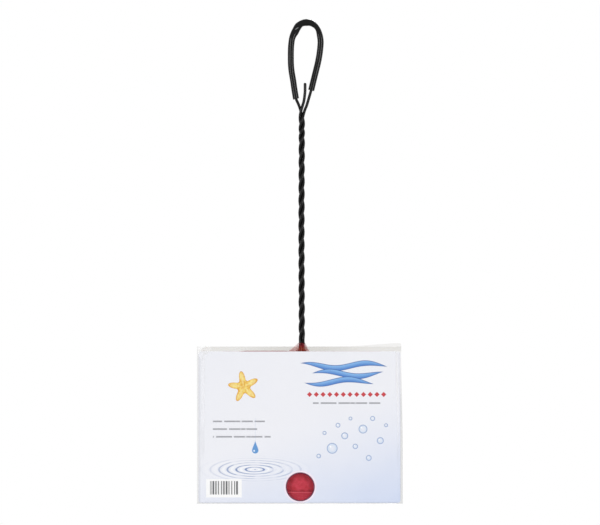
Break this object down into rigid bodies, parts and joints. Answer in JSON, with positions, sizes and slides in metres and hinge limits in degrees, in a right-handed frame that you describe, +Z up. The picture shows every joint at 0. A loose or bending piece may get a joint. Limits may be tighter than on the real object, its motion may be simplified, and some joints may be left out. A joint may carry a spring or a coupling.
{
  "type": "aquarium fish net",
  "caption": "Fish net with a twisted wire handle, a tube-covered grip loop and red netting, packed in a clear sleeve behind a window card.",
  "frame": {"origin": "centre of an 8 mm peg that touches the inside of the grip loop's crown", "axes": "+Z up along the handle, -Y out of the printed card's face, +X to the right seen from the card's side"},
  "size_m": [0.214, 0.0102, 0.5042],
  "materials": {
    "coated_wire": "black plastic coat over steel wire, semi-gloss",
    "vinyl_tube": "black soft vinyl tube, satin, whitened at the crown's crease",
    "hem_cloth": "red woven tape, sewn",
    "netting": "red fine nylon netting",
    "clear_film": "thin clear polypropylene film",
    "printed_card": "coated paperboard, printed in pale blue"
  },
  "bodies": {
    "net": {"handle_strand_tip": "coated_wire", "handle_strand_left": "coated_wire", "handle_strand_right": "coated_wire", "grip_loop_wire": "coated_wire", "grip_tube": "vinyl_tube", "frame_wire": "coated_wire", "hem_tape": "hem_cloth", "neck_cloth_front": "hem_cloth", "neck_cloth_back": "hem_cloth", "net_mouth_strip": "netting", "net_front_ply": "netting", "net_folded_ply": "netting", "net_bottom_strip": "netting", "net_back_ply": "netting", "pocket_seam_left": "hem_cloth", "pocket_seam_right": "hem_cloth", "pocket_end_seam": "hem_cloth"},
    "sleeve": {"sleeve_front_film": "clear_film", "sleeve_back_film": "clear_film", "sleeve_fold_left": "clear_film", "sleeve_fold_right": "clear_film", "sleeve_bottom_fold": "clear_film"},
    "card": {"insert_card": "printed_card"}
  },
  "joints": [
    {"name": "sleeve_slide", "type": "slide", "parent": "net", "child": "sleeve", "axis": [0, 0, -1], "range_m": [0, 0.168]},
    {"name": "card_slide", "type": "slide", "parent": "sleeve", "child": "card", "axis": [0, 0, -1], "range_m": [-0.164, 0]}
  ]
}
